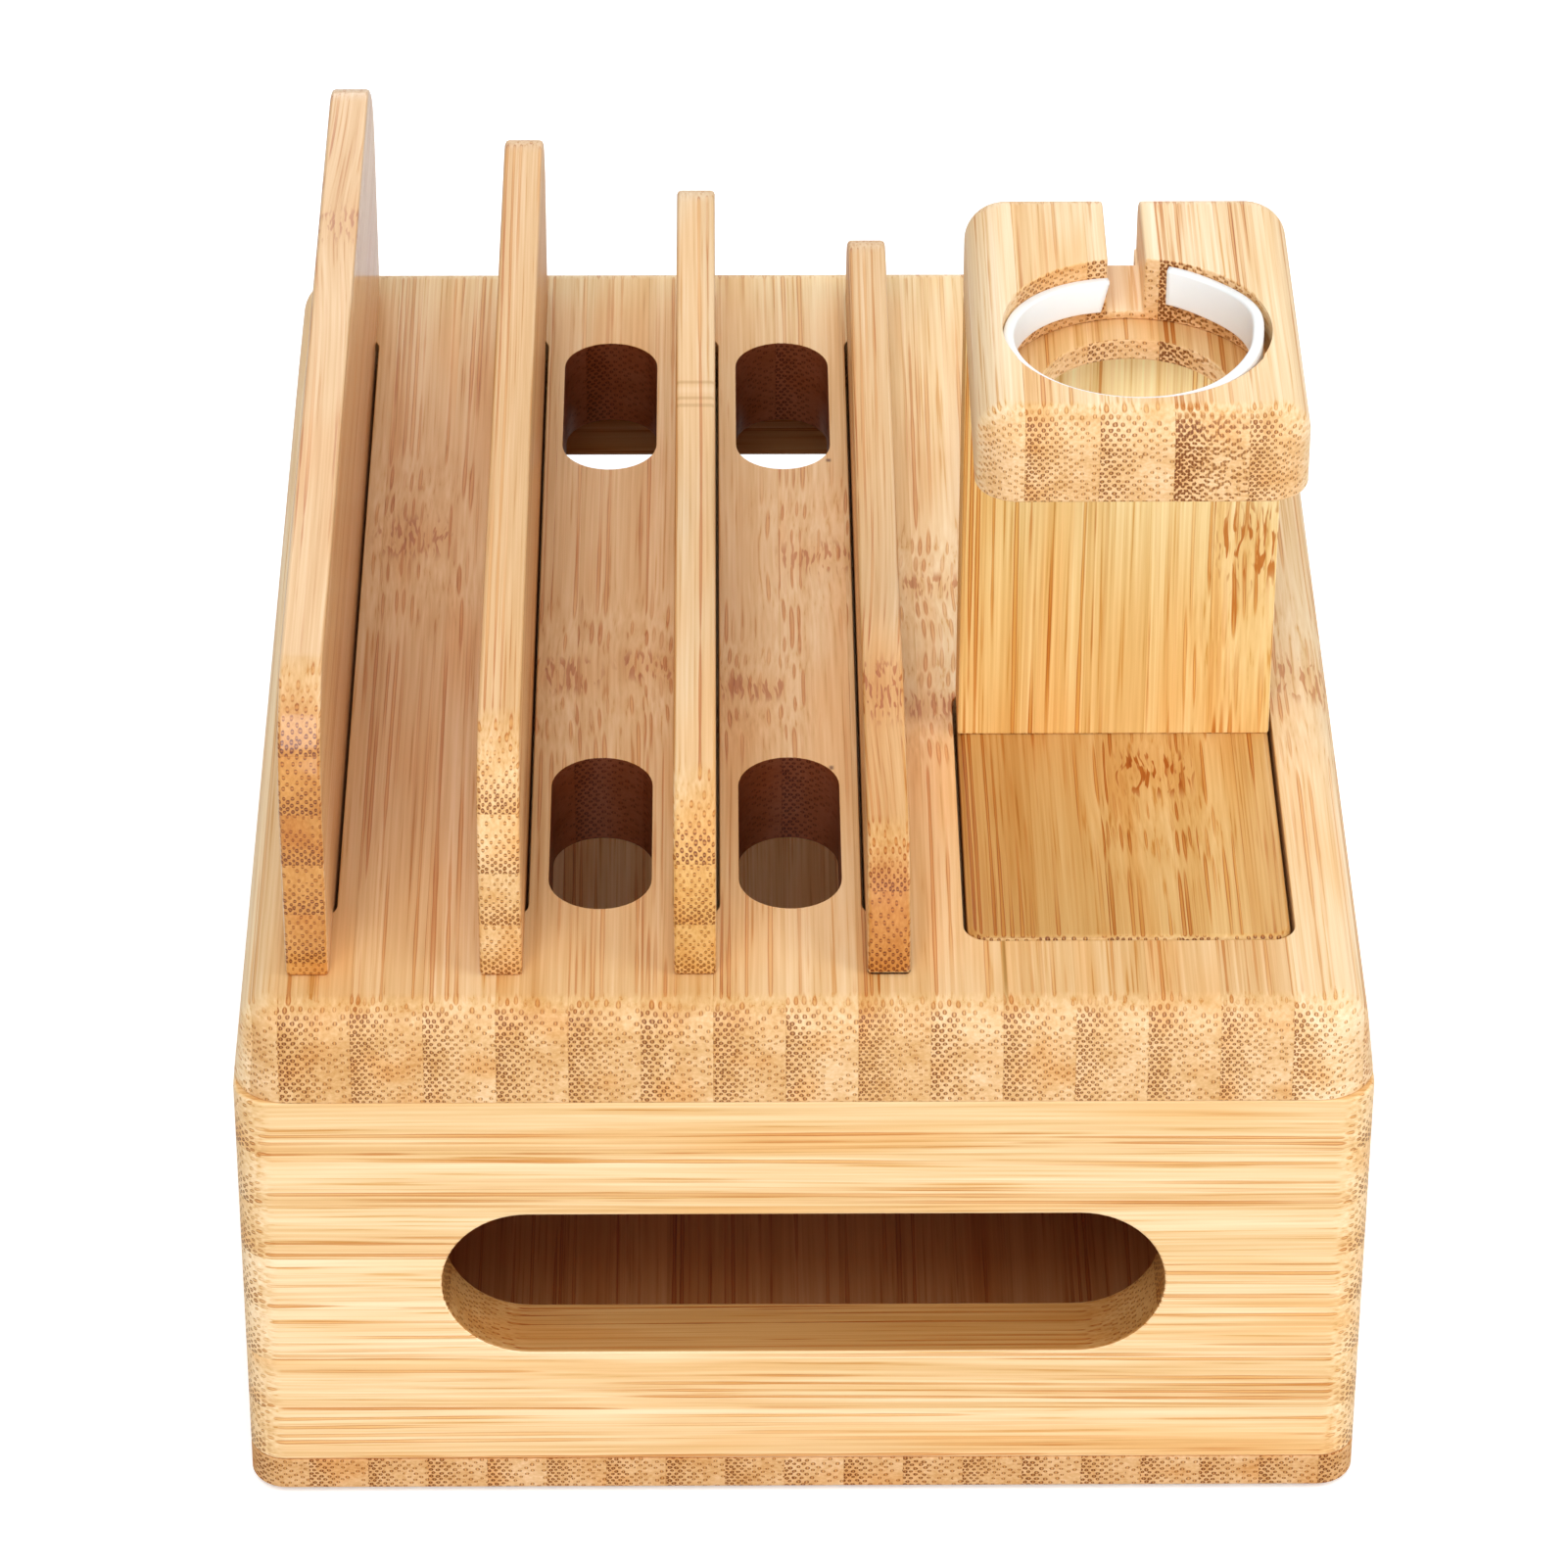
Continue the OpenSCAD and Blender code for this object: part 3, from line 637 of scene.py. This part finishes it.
for i, (strip, joint, knot, pale, end_tone) in enumerate(divider_strips):
    divider_bamboo = bamboo(
        f"divider bamboo {i + 1}", 10 + i, ("Z", "X", "Y"), strip, joint, pale,
        knots=(knot,) if knot else (), end_tone=end_tone, toned=divider_tones[i],
    )
    if i == 0:
        tallest_lacquer = divider_bamboo.node_tree.nodes["Principled BSDF"]
        tallest_lacquer.inputs["Coat Weight"].default_value = 0.6
        tallest_lacquer.inputs["Coat Roughness"].default_value = 0.12
    finish_board(f"divider_{i + 1}", divider_bamboo, 0.0005)

# Watch stand
# The foot board lies in its pocket in the lid, level with it. The post stands on the foot
# with its grain upright, and both are held to it and to the head by two dowels.
foot_bamboo = bamboo(
    "foot bamboo", 20, ("X", "Z", "Y"), 8.4, 19.4, (0.72, 0.45, 0.174), knots=((43, -37, 5),),
    # Painted shade: the top of the foot is darker over its left part, with the light coming more from the
    # right
    contrast=1.25, toned=(("Z", True, (0.76, 0.67, 0.54), (("X", 0, 50, 25),)),),
)
finish_board("stand_foot", foot_bamboo, 0.0002)
post_bamboo = bamboo(
    "post bamboo", 21, ("X", "Y", "Z"), 7.6, 19.4, (0.96, 0.71, 0.33), contrast=1.2,
    knots=((54.5, 99, 6),), bold=4,
    toned=(
        # Painted light: the post's front is lighter under the head, where the head's shadow falls
        ("Y", True, (1.03, 1.16, 1.33), (("Z", 90, 200, 25),)),
        # Painted shade: the post's front is darker lower down
        ("Y", True, (0.94, 0.89, 0.81), (("Z", 40, 105, 20),)),
    ),
)
finish_board("stand_post", post_bamboo, 0.0003)
finish_board("foot_dowels", peg_bamboo, 0.0001)
finish_board("head_dowels", peg_bamboo, 0.0001)

# Watch head
# A thin plate under a thicker block, glued together with the grain front to back. The block
# is bored right through, and the plate's smaller hole leaves a ledge for the charger.
# Painted shade on the ledge inside the bore, below the block
ledge = ("Z", True, (0.86, 0.74, 0.57), (("X", 22, 55, 0.2), ("Y", -62, -30, 0.2), ("Z", 130, 131.9, 0.2)))
head_bamboo = bamboo(
    "head bamboo", 23, ("X", "Z", "Y"), 8.5, 24.9, (0.93, 0.69, 0.41), end_tone=(0.87, 0.75, 0.63),
    contrast=0.95, bold=2, toned=(ledge,),
)
plate = finish_board("head_plate", head_bamboo, 0.0003)
head = finish_board("head_block", head_bamboo, 0.0003)


def edges_to_sand(crisp_boxes):
    """Geometry nodes that mark which edges get sanded: the sharp ones, but for those in the
    boxes, which stay crisp. A box is its low and its high corner."""
    group = bpy.data.node_groups.new("edges to sand", "GeometryNodeTree")
    group.interface.new_socket("Geometry", in_out="INPUT", socket_type="NodeSocketGeometry")
    group.interface.new_socket("Geometry", in_out="OUTPUT", socket_type="NodeSocketGeometry")
    nodes, links = group.nodes, group.links

    def calc(operation, *values):
        node = nodes.new("ShaderNodeMath")
        node.operation = operation
        for socket, value in zip(node.inputs, values):
            if isinstance(value, (int, float)):
                socket.default_value = value
            else:
                links.new(value, socket)
        return node.outputs[0]

    angle = nodes.new("GeometryNodeInputMeshEdgeAngle")
    corner = calc("GREATER_THAN", angle.outputs["Unsigned Angle"], math.radians(50))
    place = nodes.new("ShaderNodeSeparateXYZ")
    links.new(nodes.new("GeometryNodeInputPosition").outputs[0], place.inputs[0])
    crisp = 0.0
    for low, high in crisp_boxes:
        inside = 1.0
        for axis, least, most in zip("XYZ", low, high):
            inside = calc("MULTIPLY", inside, calc("GREATER_THAN", place.outputs[axis], least))
            inside = calc("MULTIPLY", inside, calc("LESS_THAN", place.outputs[axis], most))
        crisp = calc("MAXIMUM", crisp, inside)
    geometry = nodes.new("NodeGroupInput").outputs[0]
    for attribute, kind, share in (
        ("bevel_weight_edge", "FLOAT", calc("MULTIPLY", corner, calc("SUBTRACT", 1.0, crisp))),
        ("sharp_edge", "BOOLEAN", calc("MULTIPLY", corner, crisp)),
    ):
        store = nodes.new("GeometryNodeStoreNamedAttribute")
        store.data_type = kind
        store.domain = "EDGE"
        store.inputs["Name"].default_value = attribute
        links.new(share, store.inputs["Value"])
        links.new(geometry, store.inputs["Geometry"])
        geometry = store.outputs[0]
    links.new(geometry, nodes.new("NodeGroupOutput").inputs[0])
    return group


head_low, head_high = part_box("head_block")
ring_low, ring_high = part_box("grip_ring")
bore_radius = (ring_high[0] - ring_low[0]) / 2
bore_x, bore_y = ring_low[0] + bore_radius, ring_low[1] + bore_radius
# The bore runs into the roundover on its left and right, and the joint between the plate and
# the block was sanded flush all round
tip, outside, near, far = 0.0142, 0.0168, 0.0003, 1
joint_low, joint_high = head_low[2] - near, head_low[2] + near
crisp_boxes = [
    ((-far, -far, head_high[2] - 0.001), (bore_x - tip, far, far)),
    ((bore_x + tip, -far, head_high[2] - 0.001), (far, far, far)),
    ((-far, -far, joint_low), (bore_x - outside, far, joint_high)),
    ((bore_x + outside, -far, joint_low), (far, far, joint_high)),
    ((-far, -far, joint_low), (far, bore_y - outside, joint_high)),
    ((-far, bore_y + outside, joint_low), (far, far, joint_high)),
]
head_marks = edges_to_sand(crisp_boxes)
for board in (plate, head):
    marks = board.modifiers.new("edge marks", "NODES")
    marks.node_group = head_marks
    board.modifiers.move(len(board.modifiers) - 1, board.modifiers.find("sanding"))
    board.modifiers["sanding"].limit_method = "WEIGHT"
    board.modifiers["shading"].keep_sharp = True

# Grip ring
# A strip of white silicone bent round the wall of the bore, where it grips the charger. Its
# edges wander a little, it stands off the wall on the right, and its ends leave a gap.
head_top = head_high[2]
strip_thickness = 0.0013
strip_rounding = 0.0003
# Depth of the strip's edges below the head's top in millimetres, at angles in degrees from
# the back of the bore, clockwise from above
upper_edge = ((17, 0.5), (45, 0.8), (80, 0.2), (116, -0.6), (150, 0.5), (213, 0.85), (285, 1.4), (348, 2.3))
lower_edge = ((17, 5.2), (45, 5.8), (180, 5.6), (300, 5.8), (348, 6.4))


def edge_depth(points, angle):
    """Smooth curve through the depths that are given for an edge, in metres."""
    k = max(i for i in range(len(points) - 1) if points[i][0] <= angle)
    (a0, d0), (a1, d1) = points[k], points[k + 1]
    before, after = points[max(k - 1, 0)], points[min(k + 2, len(points) - 1)]
    span, share = a1 - a0, (angle - a0) / (a1 - a0)
    leaving = (d1 - before[1]) / (a1 - before[0]) * span
    arriving = (after[1] - d0) / (after[0] - a0) * span
    cube, square = share ** 3, share ** 2
    return 0.001 * (
        (2 * cube - 3 * square + 1) * d0 + (cube - 2 * square + share) * leaving
        + (3 * square - 2 * cube) * d1 + (cube - square) * arriving
    )


first_angle, last_angle = 17, 348
stations = 166
end_cut = math.radians(14)
corner_steps = 3
ring_points, ring_faces = [], []
for i in range(stations):
    angle = first_angle + (last_angle - first_angle) * i / (stations - 1)
    upper = head_top - edge_depth(upper_edge, angle)
    lower = head_top - edge_depth(lower_edge, angle)
    stand_off = 0.0001 + 0.0009 * math.exp(-((angle - 95) / 22) ** 2)
    outer = bore_radius - stand_off
    inner = outer - strip_thickness
    slant = math.tan(end_cut) * max(0, 1 - (last_angle - angle) / 12)
    for radius, level, turn in (
        (inner, lower, 180), (outer, lower, 270), (outer, upper, 0), (inner, upper, 90),
    ):
        inward = 1 if radius == outer else -1
        upward = 1 if level == upper else -1
        for step in range(corner_steps + 1):
            bend = math.radians(turn + 90 * step / corner_steps)
            r = radius - inward * strip_rounding + strip_rounding * math.cos(bend)
            z = level - upward * strip_rounding + strip_rounding * math.sin(bend)
            around = math.radians(angle) + slant * (z - (upper + lower) / 2) / r
            ring_points.append((bore_x + r * math.sin(around), bore_y + r * math.cos(around), z))
loop = 4 * (corner_steps + 1)
for i in range(stations - 1):
    for j in range(loop):
        a, b = i * loop + j, i * loop + (j + 1) % loop
        ring_faces.append((a, b, b + loop, a + loop))
ring_faces.append(tuple(reversed(range(loop))))
ring_faces.append(tuple(range((stations - 1) * loop, stations * loop)))
ring_mesh = bpy.data.meshes.new("silicone_strip")
ring_mesh.from_pydata(ring_points, [], ring_faces)
for face in ring_mesh.polygons:
    face.use_smooth = len(face.vertices) == 4
silicone_strip = bpy.data.objects.new("silicone_strip", ring_mesh)
bpy.context.scene.collection.objects.link(silicone_strip)

ring_silicone = bpy.data.materials.new("white silicone")
ring_silicone.use_nodes = True
nodes, links = ring_silicone.node_tree.nodes, ring_silicone.node_tree.links
dust = nodes.new("ShaderNodeTexNoise")
dust.inputs["Scale"].default_value = 700
silicone_tone = nodes.new("ShaderNodeMix")
silicone_tone.data_type = "RGBA"
silicone_tone.inputs["A"].default_value = (0.94, 0.94, 0.93, 1)
silicone_tone.inputs["B"].default_value = (0.98, 0.98, 0.97, 1)
links.new(dust.outputs["Fac"], silicone_tone.inputs["Factor"])
links.new(silicone_tone.outputs["Result"], nodes["Principled BSDF"].inputs["Base Color"])
nodes["Principled BSDF"].inputs["Roughness"].default_value = 0.45
nodes["Principled BSDF"].inputs["Subsurface Weight"].default_value = 0.1
ring_mesh.materials.append(ring_silicone)
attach(silicone_strip, "stand")
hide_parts("grip_ring")
